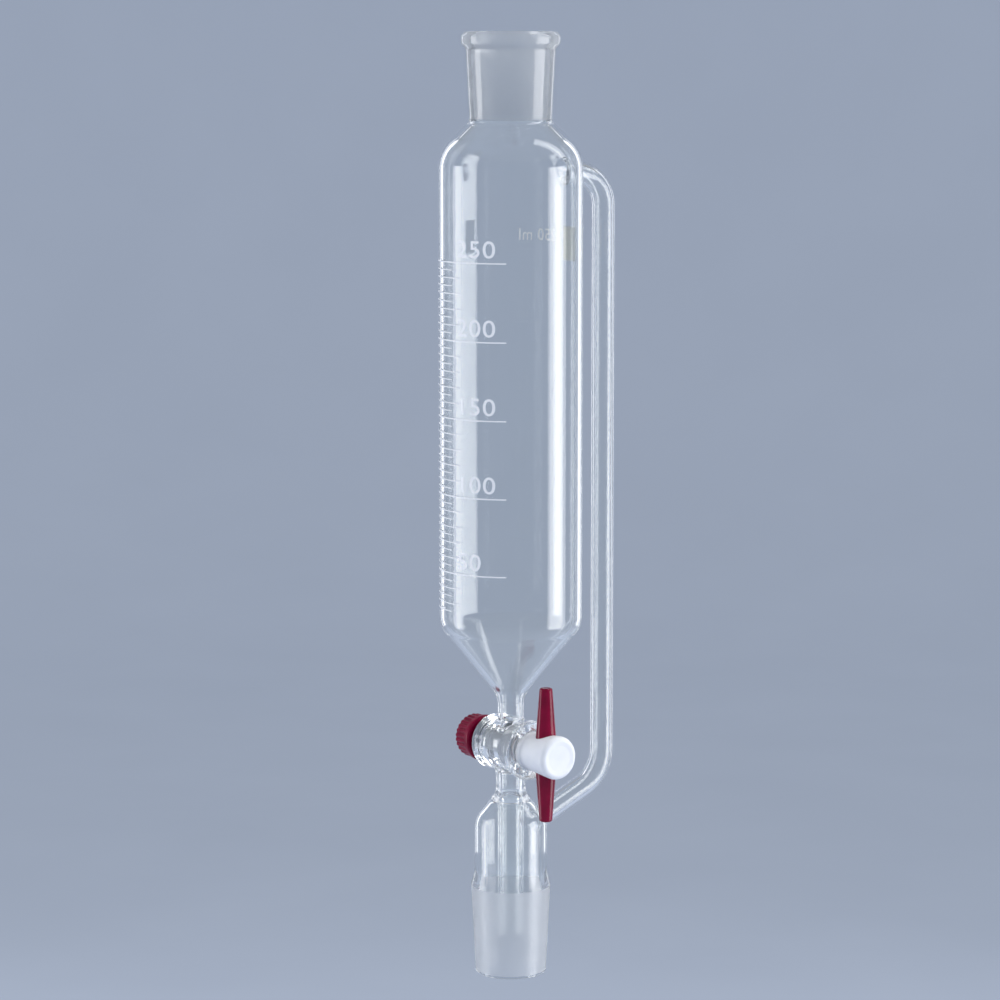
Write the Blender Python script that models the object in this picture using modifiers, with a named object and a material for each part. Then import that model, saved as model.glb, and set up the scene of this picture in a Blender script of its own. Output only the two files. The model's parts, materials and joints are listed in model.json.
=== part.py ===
"""A 250 ml graduated dropping funnel with a pressure-equalizing side tube and a PTFE stopcock.

Lengths are in metres. +Z runs up the axis of the glass, and the origin lies on it at the wide end of the
lower ground cone. The stopcock lies along Y with its lever at -Y, and the side tube stands at +X.
A profile is a list of (radius, height) points that runs down its outer side.
"""

from math import cos, pi, radians, sin, tan

import bmesh
import bpy
from mathutils import Matrix, Vector

# Between neighbouring pieces
GAP = 0.0003

# Ground joints of size 29/32: both ends' radii, their length, the glass behind the ground face, and how
# far the cone's fire-polished end runs past it
JOINT_WIDE_R = 0.0146
JOINT_NARROW_R = 0.0130
JOINT_LENGTH = 0.032
JOINT_WALL = 0.0020
CONE_END = 0.0012
CONE_LIP_INSET = 0.0005
RIM_R = 0.0178
RIM_HEIGHT = 0.0063
RIM_CHAMFER_DEPTH = 0.0019
RIM_CHAMFER_HEIGHT = 0.0025
RIM_BAND_HEIGHT = 0.0014
RIM_STEP = 0.0004

# Body: a cylinder between a domed shoulder and a cone that runs out into the inlet stem
BODY_R = 0.0260
BODY_WALL = 0.0022
RIM_Z = 0.3110
NECK_Z = RIM_Z - JOINT_LENGTH
SHOULDER_Z = 0.2620
SHOULDER_BEND_R = 0.0155
SHOULDER_SLOPE = radians(47.3)
SHOULDER_SEAM_Z = 0.2500
CONE_Z = 0.1000
CONE_BEND_R = 0.0100
CONE_SLOPE = radians(39.1)
CONE_FILLET_R = 0.0100
CONE_INNER_FILLET_R = 0.0060
CONE_SEAM_Z = 0.0670

# Stems above and below the stopcock
STEM_R = 0.0047
STEM_WALL = 0.0015
STEM_UPPER_R = 0.0052
DRIP_END_Z = -0.0180
DRIP_END_SOFT = 0.0005
STEM_SWELL_ABOVE_NECK = 0.0010
STEM_SWELL_BELOW_NECK = 0.0040

# Vapour jacket round the drip tube
JACKET_R = 0.01335
JACKET_WALL = 0.0018
JACKET_Z = 0.0212
JACKET_BEND_R = 0.0100
JACKET_SLOPE = radians(40)
JACKET_NECK_R = 0.0065
JACKET_FLARE_Z = 0.0049
JACKET_FOOT_INSET = 0.0003
JACKET_FOOT_WIDENING = 0.0004

# Side tube: a riser between two bends
SIDE_X = 0.0419
SIDE_R = 0.0041
SIDE_WALL = 0.0012
SIDE_TOP_Z = 0.2480
SIDE_TOP_BEND_R = 0.0120
SIDE_TOP_SLOPE = radians(15)
SIDE_FOOT_CORNER_Z = 0.0363
SIDE_FOOT_BEND_R = 0.0150
SIDE_FOOT_SLOPE = radians(24)
SIDE_END_STRAIGHT = 0.0040
SIDE_REACH_INTO_BODY = 0.0200
SIDE_END_IN_JACKET_X = 0.0040

# Stopcock. Stations are measured along its axis from the glass's axis, positive towards the lever
STOPCOCK_Z = 0.0518
BARREL_FRONT = 0.0133
BARREL_REAR = -0.0112
BARREL_FRONT_R = 0.01075
BARREL_REAR_R = 0.0101
BARREL_WAIST_R = 0.0095
BARREL_WAIST_HALF = 0.0062
BARREL_RIM_LENGTH = 0.0022
BARREL_SOFT = 0.0008
PLUG_FRONT_R = 0.0071
PLUG_TAPER = 0.1
PLUG_BORE_R = 0.0020
PORT_R = 0.0023
HEAD_FRONT = 0.0300
HEAD_FRONT_R = 0.0079
HEAD_REAR_R = 0.0068
HEAD_SOFT = 0.0014
HEAD_THROAT_LENGTH = 0.0035
TAIL_R = 0.0042
TAIL_END = -0.0236
TAIL_SOFT = 0.0006
LEVER_STATION = 0.0216
LEVER_HALF_LENGTH = 0.0246
LEVER_R = 0.0042
LEVER_TIP_R = 0.0024
LEVER_SOFT = 0.0007
WASHER_R = 0.0076
WASHER_THICKNESS = 0.0012
WASHER_SOFT = 0.0002
RING_MINOR_R = 0.0011
NUT_END = -0.0242
NUT_R = 0.0081
NUT_COLLAR_R = 0.0086
NUT_COLLAR_LENGTH = 0.0022
NUT_COLLAR_STEP = 0.0003
NUT_SOFT = 0.0007
NUT_FLUTES = 26
NUT_FLUTE_R = 0.0007
NUT_FLUTE_OVERRUN = 0.0005

# How finely round shapes are divided
BODY_STEPS = 48
JOINT_STEPS = 40
BARREL_STEPS = 32
SMALL_STEPS = 28
TUBE_STEPS = 20
RING_STEPS = 12
TUBE_BEND_STEPS = 8
BEND_STEPS = 5
CORNER_STEPS = 3
FLUTE_STEPS = 6

# Points closer than this are merged
MERGE = 1e-5


def start_scene():
    """Empties the scene and returns the collections for the parts and for the cutters."""
    for ob in list(bpy.data.objects):
        bpy.data.objects.remove(ob)
    made = []
    for name in ("dropping_funnel", "cutters"):
        collection = bpy.data.collections.new(name)
        bpy.context.scene.collection.children.link(collection)
        made.append(collection)
    return made


def make_material(name, colour, roughness, transmission=0.0):
    material = bpy.data.materials.new(name)
    material.use_nodes = True
    shader = material.node_tree.nodes["Principled BSDF"]
    shader.inputs["Base Color"].default_value = (*colour, 1.0)
    shader.inputs["Roughness"].default_value = roughness
    shader.inputs["Metallic"].default_value = 0.0
    shader.inputs["Transmission Weight"].default_value = transmission
    return material


def arc(centre, radius, start, end, steps=BEND_STEPS):
    """Points on a circle from one angle to another, in radians."""
    turns = [start + (end - start) * i / steps for i in range(steps + 1)]
    return [(centre[0] + radius * cos(t), centre[1] + radius * sin(t)) for t in turns]


def radius_on_slope(point, slope, z):
    """The radius at height z on the line through point that leans by slope from vertical."""
    return point[0] + (z - point[1]) * tan(slope)


def bend_to_slope(radius, z, bend_r, slope, side):
    """A bend from a vertical wall at (radius, z) to a slope. side is 1 above the wall and -1 below."""
    return arc((radius - bend_r, z), bend_r, 0, side * slope)


def lathe(name, profile, steps, collection, material=None, closed=True):
    """Turns a profile about the object's own Z. An open profile starts and ends on the axis."""
    mesh = bpy.data.meshes.new(name)
    count = len(profile)
    edges = [(i, (i + 1) % count) for i in range(count if closed else count - 1)]
    mesh.from_pydata([(r, 0, z) for r, z in profile], edges, [])
    ob = bpy.data.objects.new(name, mesh)
    collection.objects.link(ob)
    screw = ob.modifiers.new("turn", "SCREW")
    screw.axis = "Z"
    screw.steps = screw.render_steps = steps
    screw.use_merge_vertices = True
    screw.merge_threshold = MERGE
    screw.use_smooth_shade = True
    if material:
        mesh.materials.append(material)
    return ob


def make_cutter(ob):
    ob.hide_render = True
    ob.display_type = "WIRE"
    return ob


def solid_cutter(name, outer, steps, collection):
    """A cutter that fills an outer profile down to the axis."""
    profile = [(0, outer[0][1]), *outer, (0, outer[-1][1])]
    return make_cutter(lathe(name, profile, steps, collection, closed=False))


def rod_cutter(name, radius, start, end, collection, steps=TUBE_STEPS):
    """A round cutter between two points."""
    start, end = Vector(start), Vector(end)
    mesh = bpy.data.meshes.new(name)
    bm = bmesh.new()
    bmesh.ops.create_cone(
        bm, cap_ends=True, segments=steps, radius1=radius, radius2=radius, depth=(end - start).length
    )
    bm.to_mesh(mesh)
    bm.free()
    ob = bpy.data.objects.new(name, mesh)
    ob.location = (start + end) / 2
    ob.rotation_euler = (end - start).to_track_quat("Z", "Y").to_euler()
    collection.objects.link(ob)
    return make_cutter(ob)


def cut(ob, cutter):
    modifier = ob.modifiers.new(cutter.name, "BOOLEAN")
    modifier.operation = "DIFFERENCE"
    modifier.solver = "EXACT"
    modifier.object = cutter


def swept_tube(name, points, radius, wall, collection, material):
    """A hollow tube along points in the XZ plane."""
    curve = bpy.data.curves.new(name, "CURVE")
    curve.dimensions = "3D"
    curve.bevel_depth = radius
    curve.bevel_resolution = TUBE_STEPS // 2 - 2
    spline = curve.splines.new("POLY")
    spline.points.add(len(points) - 1)
    for point, (x, z) in zip(spline.points, points):
        point.co = (x, 0, z, 1)
    guide = bpy.data.objects.new(name + "_guide", curve)
    collection.objects.link(guide)
    evaluated = guide.evaluated_get(bpy.context.evaluated_depsgraph_get())
    mesh = bpy.data.meshes.new_from_object(evaluated)
    bpy.data.objects.remove(guide)
    bm = bmesh.new()
    bm.from_mesh(mesh)
    bmesh.ops.remove_doubles(bm, verts=bm.verts, dist=MERGE)
    bm.to_mesh(mesh)
    bm.free()
    ob = bpy.data.objects.new(name, mesh)
    collection.objects.link(ob)
    shell = ob.modifiers.new("wall", "SOLIDIFY")
    shell.thickness = wall
    shell.offset = -1
    mesh.materials.clear()
    mesh.materials.append(material)
    mesh.shade_smooth()
    return ob


# Outer outlines of the glass. Each grows by an offset, which gives the cutters their clearance.


def shoulder_outline(offset=0.0):
    """From the neck over the dome to the seam with the measuring cylinder."""
    radius, bend = BODY_R + offset, SHOULDER_BEND_R + offset
    dome = bend_to_slope(radius, SHOULDER_Z, bend, SHOULDER_SLOPE, 1)[::-1]
    neck_r = radius_on_slope(dome[0], -SHOULDER_SLOPE, NECK_Z)
    return [(neck_r, NECK_Z - GAP / 2), *dome, (radius, SHOULDER_SEAM_Z + GAP / 2)]


def barrel_outline(offset=0.0):
    """The stopcock barrel's outside, from its front rim to its rear rim."""
    points = [
        (BARREL_FRONT_R - BARREL_SOFT, BARREL_FRONT),
        (BARREL_FRONT_R, BARREL_FRONT - BARREL_SOFT),
        (BARREL_FRONT_R, BARREL_FRONT - BARREL_RIM_LENGTH),
        (BARREL_WAIST_R, BARREL_WAIST_HALF),
        (BARREL_WAIST_R, -BARREL_WAIST_HALF),
        (BARREL_REAR_R, BARREL_REAR + BARREL_RIM_LENGTH),
        (BARREL_REAR_R, BARREL_REAR + BARREL_SOFT),
        (BARREL_REAR_R - BARREL_SOFT, BARREL_REAR),
    ]
    return [(r + offset, s) for r, s in points]


def jacket_outline(offset=0.0):
    """From the seal round the stem over the jacket's dome to the flare above the cone."""
    radius, bend = JACKET_R + offset, JACKET_BEND_R + offset
    dome = bend_to_slope(radius, JACKET_Z, bend, JACKET_SLOPE, 1)[::-1]
    neck_z = dome[0][1] + (dome[0][0] - JACKET_NECK_R) / tan(JACKET_SLOPE)
    return [(JACKET_NECK_R, neck_z), *dome, (radius, JACKET_FLARE_Z)]


def side_tube_points():
    """The side tube's centre line as its top bend, riser and foot, each in the XZ plane."""
    top_centre = (SIDE_X - SIDE_TOP_BEND_R, SIDE_TOP_Z)
    top = arc(top_centre, SIDE_TOP_BEND_R, pi / 2 - SIDE_TOP_SLOPE, 0, TUBE_BEND_STEPS)
    reach = SIDE_REACH_INTO_BODY
    start = (top[0][0] - reach * cos(SIDE_TOP_SLOPE), top[0][1] + reach * sin(SIDE_TOP_SLOPE))
    tangent = SIDE_FOOT_BEND_R * tan((pi / 2 - SIDE_FOOT_SLOPE) / 2)
    foot_z = SIDE_FOOT_CORNER_Z + tangent
    foot_centre = (SIDE_X - SIDE_FOOT_BEND_R, foot_z)
    foot = arc(foot_centre, SIDE_FOOT_BEND_R, 0, SIDE_FOOT_SLOPE - pi / 2, TUBE_BEND_STEPS)
    end_x = SIDE_END_IN_JACKET_X
    end = (end_x, foot[-1][1] - (foot[-1][0] - end_x) * tan(SIDE_FOOT_SLOPE))
    seams = [SIDE_TOP_Z - SIDE_END_STRAIGHT, foot_z + SIDE_END_STRAIGHT]
    riser = [(SIDE_X, seams[0] - GAP), (SIDE_X, seams[1] + GAP)]
    return [start, *top, (SIDE_X, seams[0])], riser, [(SIDE_X, seams[1]), *foot, end]


def plug_radius(station):
    return PLUG_FRONT_R + PLUG_TAPER * (station - BARREL_FRONT)


# Glass


def make_socket(parts, glass):
    """The ground socket with its flat-topped rim, which is chamfered above and below."""
    band_top = RIM_Z - RIM_CHAMFER_HEIGHT
    rim_low = RIM_Z - RIM_HEIGHT
    outer_low = JOINT_NARROW_R + JOINT_WALL
    outer_high = JOINT_WIDE_R + JOINT_WALL - RIM_STEP
    profile = [
        (RIM_R - RIM_CHAMFER_DEPTH, RIM_Z),
        (RIM_R, band_top),
        (RIM_R, band_top - RIM_BAND_HEIGHT),
        (outer_high + RIM_STEP, rim_low),
        (outer_high, rim_low - RIM_STEP),
        (outer_low, NECK_Z + GAP / 2),
        (JOINT_NARROW_R, NECK_Z + GAP / 2),
        (JOINT_WIDE_R, RIM_Z),
    ]
    return lathe("socket_joint", profile, JOINT_STEPS, parts, glass)


def make_shoulder(parts, cutters, glass):
    outer = shoulder_outline()
    dome = bend_to_slope(BODY_R - BODY_WALL, SHOULDER_Z, SHOULDER_BEND_R - BODY_WALL, SHOULDER_SLOPE, 1)
    throat_z = dome[-1][1] + (dome[-1][0] - JOINT_NARROW_R) / tan(SHOULDER_SLOPE)
    inner = [(BODY_R - BODY_WALL, outer[-1][1]), *dome, (JOINT_NARROW_R, throat_z)]
    inner.append((JOINT_NARROW_R, outer[0][1]))
    ob = lathe("body_shoulder", outer + inner, BODY_STEPS, parts, glass)
    ends = [(x, 0, z) for x, z in side_tube_points()[0][:2]]
    cut(ob, rod_cutter("top_port", SIDE_R - SIDE_WALL, *ends, cutters))
    return ob


def make_cylinder(parts, glass):
    top, low = SHOULDER_SEAM_Z - GAP / 2, CONE_Z + GAP / 2
    inner_r = BODY_R - BODY_WALL
    profile = [(BODY_R, top), (BODY_R, low), (inner_r, low), (inner_r, top)]
    return lathe("measuring_cylinder", profile, BODY_STEPS, parts, glass)


def cone_outline(radius, bend_r, fillet_r, stem_r):
    """A wall from the cylinder down the cone and through a hollow curve into the stem."""
    bend = bend_to_slope(radius, CONE_Z, bend_r, CONE_SLOPE, -1)
    line_r = stem_r + fillet_r - fillet_r / cos(CONE_SLOPE)
    centre_z = bend[-1][1] - (bend[-1][0] - line_r) / tan(CONE_SLOPE)
    fillet = arc((stem_r + fillet_r, centre_z), fillet_r, pi - CONE_SLOPE, pi)
    return bend + fillet


def make_cone(parts, glass):
    outer = cone_outline(BODY_R, CONE_BEND_R, CONE_FILLET_R, STEM_R)
    inner = cone_outline(
        BODY_R - BODY_WALL, CONE_BEND_R - BODY_WALL, CONE_INNER_FILLET_R, STEM_R - STEM_WALL
    )
    top, low = CONE_Z - GAP / 2, CONE_SEAM_Z + GAP / 2
    outer[0], outer[-1] = (outer[0][0], top), (STEM_R, low)
    inner[0] = (inner[0][0], top)
    profile = outer + [(STEM_R - STEM_WALL, low)] + inner[::-1]
    return lathe("lower_cone", profile, JOINT_STEPS, parts, glass)


def barrel_cutter(cutters):
    """The barrel's outside with clearance, which shapes the ends of the stems that meet it."""
    ob = solid_cutter("barrel_clearance", barrel_outline(GAP), BARREL_STEPS, cutters)
    ob.location = (0, 0, STOPCOCK_Z)
    ob.rotation_euler = (pi / 2, 0, 0)
    return ob


def make_inlet_stem(parts, glass, saddle):
    top, low = CONE_SEAM_Z - GAP / 2, STOPCOCK_Z
    bore_r = STEM_R - STEM_WALL
    profile = [(STEM_R, top), (STEM_R, low), (bore_r, low), (bore_r, top)]
    ob = lathe("inlet_stem", profile, TUBE_STEPS, parts, glass)
    cut(ob, saddle)
    return ob


def make_drip_tube(parts, glass, saddle):
    """The stem under the stopcock, which carries on through the jacket as the drip tube."""
    neck_z = jacket_outline()[0][1]
    bore_r = STEM_R - STEM_WALL
    profile = [
        (STEM_UPPER_R, STOPCOCK_Z),
        (STEM_UPPER_R, neck_z + STEM_SWELL_ABOVE_NECK),
        (STEM_R, neck_z - STEM_SWELL_BELOW_NECK),
        (STEM_R, DRIP_END_Z + DRIP_END_SOFT),
        (STEM_R - DRIP_END_SOFT, DRIP_END_Z),
        (bore_r, DRIP_END_Z),
        (bore_r, STOPCOCK_Z),
    ]
    ob = lathe("drip_tube", profile, TUBE_STEPS, parts, glass)
    cut(ob, saddle)
    return ob


def make_jacket(parts, cutters, glass):
    """The vapour jacket, closed onto the stem at the top, with the side tube's port in its wall."""
    outer = jacket_outline()
    seal_r = STEM_UPPER_R + GAP
    inner_r = JACKET_R - JACKET_WALL
    dome = bend_to_slope(inner_r, JACKET_Z, JACKET_BEND_R - JACKET_WALL, JACKET_SLOPE, 1)
    seal_z = dome[-1][1] + (dome[-1][0] - seal_r) / tan(JACKET_SLOPE)
    low = GAP / 2
    profile = [(seal_r, outer[0][1]), *outer, (JOINT_WIDE_R - JACKET_FOOT_INSET, low)]
    profile += [(inner_r + JACKET_FOOT_WIDENING, low), (inner_r, JACKET_FLARE_Z), *dome, (seal_r, seal_z)]
    ob = lathe("vapour_jacket", profile, JOINT_STEPS, parts, glass)
    ends = [(x, 0, z) for x, z in side_tube_points()[2][-2:]]
    cut(ob, rod_cutter("foot_port", SIDE_R - SIDE_WALL, *ends, cutters))
    return ob


def make_cone_joint(parts, glass):
    """The ground cone, with a rounded lower end that is flat on its rim."""
    inner_r = JACKET_R - JACKET_WALL
    profile = [
        (JOINT_WIDE_R, -GAP / 2),
        *arc((JOINT_NARROW_R - CONE_END, -JOINT_LENGTH), CONE_END, 0, -pi / 2, CORNER_STEPS),
        (inner_r - CONE_LIP_INSET, -JOINT_LENGTH - CONE_END),
        (inner_r + JACKET_FOOT_WIDENING, -GAP / 2),
    ]
    return lathe("cone_joint", profile, JOINT_STEPS, parts, glass)


def make_side_tube(parts, cutters, glass):
    """The side tube's three lengths, with their ends shaped to the glass they join."""
    top, riser, foot = side_tube_points()
    names = ("side_tube_top", "side_tube_riser", "side_tube_foot")
    tubes = [
        swept_tube(name, points, SIDE_R, SIDE_WALL, parts, glass)
        for name, points in zip(names, (top, riser, foot))
    ]
    body = solid_cutter("body_clearance", shoulder_outline(GAP), BODY_STEPS, cutters)
    jacket = solid_cutter("jacket_clearance", jacket_outline(GAP), JOINT_STEPS, cutters)
    cut(tubes[0], body)
    cut(tubes[2], jacket)


def on_stopcock_axis(ob, axis):
    """Lays a turned piece along the stopcock, with its own +Z towards the lever."""
    ob.parent = axis
    ob.rotation_euler = (pi / 2, 0, 0)


def make_barrel(parts, cutters, glass):
    """The barrel with its tapered bore and a port at the top and the bottom."""
    bore = [(plug_radius(s) + GAP, s) for s in (BARREL_REAR, BARREL_FRONT)]
    ob = lathe("stopcock_barrel", barrel_outline() + bore, BARREL_STEPS, parts, glass)
    ob.location = (0, 0, STOPCOCK_Z)
    ob.rotation_euler = (pi / 2, 0, 0)
    reach = 1.5 * BARREL_FRONT_R
    ends = [(0, 0, STOPCOCK_Z + reach), (0, 0, STOPCOCK_Z - reach)]
    cut(ob, rod_cutter("barrel_ports", PORT_R, *ends, cutters))
    return ob


# Stopcock key


def make_plug(parts, cutters, ptfe, axis):
    """The PTFE plug: a round head, a tapered body with a cross bore, and a tail for the nut."""
    taper_end = BARREL_REAR + GAP
    head_corner = (HEAD_FRONT_R - HEAD_SOFT, HEAD_FRONT - HEAD_SOFT)
    profile = [
        (0, HEAD_FRONT),
        *arc(head_corner, HEAD_SOFT, pi / 2, 0, CORNER_STEPS),
        (HEAD_REAR_R, BARREL_FRONT + HEAD_THROAT_LENGTH),
        (PLUG_FRONT_R, BARREL_FRONT + GAP),
        (plug_radius(taper_end), taper_end),
        (TAIL_R, taper_end),
        (TAIL_R, TAIL_END + TAIL_SOFT),
        (TAIL_R - TAIL_SOFT, TAIL_END),
        (0, TAIL_END),
    ]
    ob = lathe("stopcock_plug", profile, SMALL_STEPS, parts, ptfe, closed=False)
    on_stopcock_axis(ob, axis)
    reach = 1.5 * HEAD_FRONT_R
    bore_ends = [(0, 0, STOPCOCK_Z + side * reach) for side in (1, -1)]
    cut(ob, rod_cutter("plug_bore", PLUG_BORE_R, *bore_ends, cutters))
    slot_ends = [(0, -LEVER_STATION, STOPCOCK_Z + side * reach) for side in (1, -1)]
    cut(ob, rod_cutter("lever_hole", LEVER_R + GAP, *slot_ends, cutters))
    return ob


def make_lever(parts, red, axis):
    """A round bar through the head that thins towards both tips."""
    tip = [(0, LEVER_HALF_LENGTH)]
    corner = (LEVER_TIP_R - LEVER_SOFT, LEVER_HALF_LENGTH - LEVER_SOFT)
    tip += arc(corner, LEVER_SOFT, pi / 2, 0, CORNER_STEPS)
    profile = tip + [(LEVER_R, 0)] + [(r, -z) for r, z in tip[::-1]]
    ob = lathe("lever_handle", profile, TUBE_STEPS, parts, red, closed=False)
    ob.parent = axis
    ob.location = (0, -LEVER_STATION, 0)
    return ob


def make_washer(parts, ptfe, axis):
    front = BARREL_REAR - GAP
    rear = front - WASHER_THICKNESS
    bore_r, soft = TAIL_R + GAP, WASHER_SOFT
    profile = [(WASHER_R - soft, front), (WASHER_R, front - soft), (WASHER_R, rear + soft)]
    profile += [(WASHER_R - soft, rear), (bore_r, rear), (bore_r, front)]
    ob = lathe("sealing_washer", profile, SMALL_STEPS, parts, ptfe)
    on_stopcock_axis(ob, axis)
    return ob


def ring_station():
    """The middle of the O-ring, behind the washer."""
    return BARREL_REAR - 2 * GAP - WASHER_THICKNESS - RING_MINOR_R


def make_ring(parts, rubber, axis):
    centre_r = TAIL_R + 2 * GAP + RING_MINOR_R
    circle = arc((centre_r, ring_station()), RING_MINOR_R, pi / 2, -3 * pi / 2, RING_STEPS)[:-1]
    ob = lathe("o_ring", circle, SMALL_STEPS, parts, rubber)
    on_stopcock_axis(ob, axis)
    return ob


def flute_cutter(cutters):
    """Round bars set in a circle, which cut the flutes of the nut's grip."""
    mesh = bpy.data.meshes.new("nut_flutes")
    bm = bmesh.new()
    grip_top = ring_station() - RING_MINOR_R - GAP - NUT_COLLAR_LENGTH
    length = grip_top - NUT_END
    middle = (grip_top + NUT_END) / 2 - NUT_FLUTE_OVERRUN
    for i in range(NUT_FLUTES):
        spot = Matrix.Rotation(2 * pi * i / NUT_FLUTES, 4, "Z")
        spot = spot @ Matrix.Translation((NUT_R + NUT_FLUTE_R / 2, 0, middle))
        bmesh.ops.create_cone(
            bm,
            cap_ends=True,
            segments=FLUTE_STEPS,
            radius1=NUT_FLUTE_R,
            radius2=NUT_FLUTE_R,
            depth=length,
            matrix=spot,
        )
    bm.to_mesh(mesh)
    bm.free()
    ob = bpy.data.objects.new("nut_flutes", mesh)
    cutters.objects.link(ob)
    return make_cutter(ob)


def make_nut(parts, cutters, red, axis):
    """The retaining nut: a smooth collar towards the glass and a fluted grip behind it."""
    front = ring_station() - RING_MINOR_R - GAP
    collar_end, bore_r, soft = front - NUT_COLLAR_LENGTH, TAIL_R + GAP, NUT_SOFT
    profile = [
        (NUT_COLLAR_R - soft, front),
        (NUT_COLLAR_R, front - soft),
        (NUT_COLLAR_R, collar_end),
        (NUT_R, collar_end - NUT_COLLAR_STEP),
        (NUT_R, NUT_END + soft),
        (NUT_R - soft, NUT_END),
        (bore_r, NUT_END),
        (bore_r, front),
    ]
    ob = lathe("retaining_nut", profile, 2 * NUT_FLUTES, parts, red)
    on_stopcock_axis(ob, axis)
    flutes = flute_cutter(cutters)
    flutes.location = (0, 0, STOPCOCK_Z)
    flutes.rotation_euler = (pi / 2, 0, 0)
    cut(ob, flutes)
    return ob


def main():
    parts, cutters = start_scene()
    glass = make_material("borosilicate_glass", (0.93, 0.97, 0.98), 0.02, 1.0)
    ground = make_material("ground_glass", (0.90, 0.93, 0.96), 0.45, 0.6)
    ptfe = make_material("ptfe", (0.88, 0.90, 0.90), 0.45)
    red = make_material("red_plastic", (0.42, 0.010, 0.035), 0.25)
    rubber = make_material("black_rubber", (0.02, 0.02, 0.02), 0.55)

    make_socket(parts, ground)
    make_shoulder(parts, cutters, glass)
    make_cylinder(parts, glass)
    make_cone(parts, glass)
    saddle = barrel_cutter(cutters)
    make_inlet_stem(parts, glass, saddle)
    make_barrel(parts, cutters, glass)
    make_drip_tube(parts, glass, saddle)
    make_jacket(parts, cutters, glass)
    make_cone_joint(parts, ground)
    make_side_tube(parts, cutters, glass)

    axis = bpy.data.objects.new("stopcock_axis", None)
    axis.location = (0, 0, STOPCOCK_Z)
    parts.objects.link(axis)
    make_plug(parts, cutters, ptfe, axis)
    make_lever(parts, red, axis)
    make_washer(parts, ptfe, axis)
    make_ring(parts, rubber, axis)
    make_nut(parts, cutters, red, axis)


main()
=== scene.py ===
"""The looks of a 250 ml graduated dropping funnel with a pressure-equalizing side tube.

The glass is one fused piece, as a glassblower leaves it. It is described as a distance field: turned outlines
for the body and the jacket, a turned barrel across them and a round side tube, with melted fillets wherever
two of them meet. The field is meshed on rings round the glass's axis. Everything else is turned, wrapped or
cut round the CAD frame. Lengths are in metres.
"""

import json
import math

import bmesh
import bpy
import numpy as np
from mathutils import Matrix, Vector


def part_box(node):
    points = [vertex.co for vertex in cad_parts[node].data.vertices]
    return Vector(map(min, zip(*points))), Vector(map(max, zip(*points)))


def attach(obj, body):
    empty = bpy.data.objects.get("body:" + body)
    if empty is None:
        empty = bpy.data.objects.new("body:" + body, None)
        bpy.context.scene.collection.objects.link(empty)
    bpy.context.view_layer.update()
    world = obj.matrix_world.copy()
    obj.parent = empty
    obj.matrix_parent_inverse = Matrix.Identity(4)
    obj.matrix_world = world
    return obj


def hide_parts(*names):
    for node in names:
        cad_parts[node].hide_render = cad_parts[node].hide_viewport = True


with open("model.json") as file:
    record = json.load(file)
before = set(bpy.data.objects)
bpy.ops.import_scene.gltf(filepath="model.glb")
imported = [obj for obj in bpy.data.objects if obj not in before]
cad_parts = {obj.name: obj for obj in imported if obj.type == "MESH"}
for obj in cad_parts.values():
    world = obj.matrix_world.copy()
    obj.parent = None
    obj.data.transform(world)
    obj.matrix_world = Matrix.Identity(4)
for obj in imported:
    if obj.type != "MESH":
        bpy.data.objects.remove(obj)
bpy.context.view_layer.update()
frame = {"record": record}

MM = 0.001

# Places and sizes read from the frame
BODY_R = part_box("measuring_cylinder")[1].x
RIM_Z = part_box("socket_joint")[1].z
RIM_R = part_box("socket_joint")[1].x
NECK_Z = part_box("socket_joint")[0].z
CONE_END_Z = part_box("cone_joint")[0].z
DRIP_END_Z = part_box("drip_tube")[0].z
SIDE_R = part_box("side_tube_riser")[1].y
SIDE_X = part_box("side_tube_riser")[1].x - SIDE_R
BARREL_LOW, BARREL_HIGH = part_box("stopcock_barrel")
STOPCOCK_Z = (BARREL_LOW.z + BARREL_HIGH.z) / 2
BARREL_FRONT = -BARREL_LOW.y
BARREL_REAR = -BARREL_HIGH.y
BARREL_FRONT_R = BARREL_HIGH.x

# The ground joints of size 29/32
JOINT_WIDE_R = 14.6 * MM
JOINT_NARROW_R = 13.0 * MM
JOINT_LENGTH = 32 * MM

# The body's wall and slopes
BODY_WALL = 2.2 * MM
SHOULDER_Z = 262 * MM
SHOULDER_BEND_R = 15.5 * MM
SHOULDER_SLOPE = math.radians(47.3)
CONE_Z = 100 * MM
CONE_BEND_R = 10 * MM
CONE_SLOPE = math.radians(39.1)

# Stems, jacket and side tube
STEM_R = 4.7 * MM
STEM_WALL = 1.5 * MM
STEM_UPPER_R = 5.2 * MM
JACKET_R = 13.35 * MM
JACKET_WALL = 1.8 * MM
JACKET_Z = 21.2 * MM
JACKET_BEND_R = 10 * MM
JACKET_SLOPE = math.radians(40)
JACKET_FLARE_Z = 4.9 * MM
SIDE_WALL = 1.2 * MM
SIDE_TOP_Z = 257.2 * MM
SIDE_TOP_BEND_R = 12 * MM
SIDE_TOP_SLOPE = math.radians(15)
SIDE_FOOT_Z = 36.3 * MM
SIDE_FOOT_BEND_R = 15 * MM
SIDE_FOOT_SLOPE = math.radians(24)

# The socket's bead: its height, the chamfer on its top and the slope below it
BEAD_HEIGHT = 6.4 * MM
BEAD_TOP_DROP = 1.5 * MM
BEAD_TOP_INSET = 1.3 * MM
BEAD_SIDE_END = 4.4 * MM
SOCKET_WALL = 1.5 * MM

# Stopcock
BARREL_REAR_R = 10.1 * MM
BARREL_WAIST_R = 9.5 * MM
PORT_R = 2.3 * MM
PLUG_FRONT_R = 7.1 * MM
PLUG_TAPER = 0.1

PORT_HALF_HEIGHT = 8.2 * MM  # the narrow bore through the barrel's walls ends here, above and below the plug
PORT_END = 9.4 * MM

# Outlines run past the glass to here where their end doesn't matter
PAST_AXIS = -8 * MM
SHARP = 0.1 * MM  # the rounding of a corner that stays sharp, or lies where it doesn't show

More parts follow.
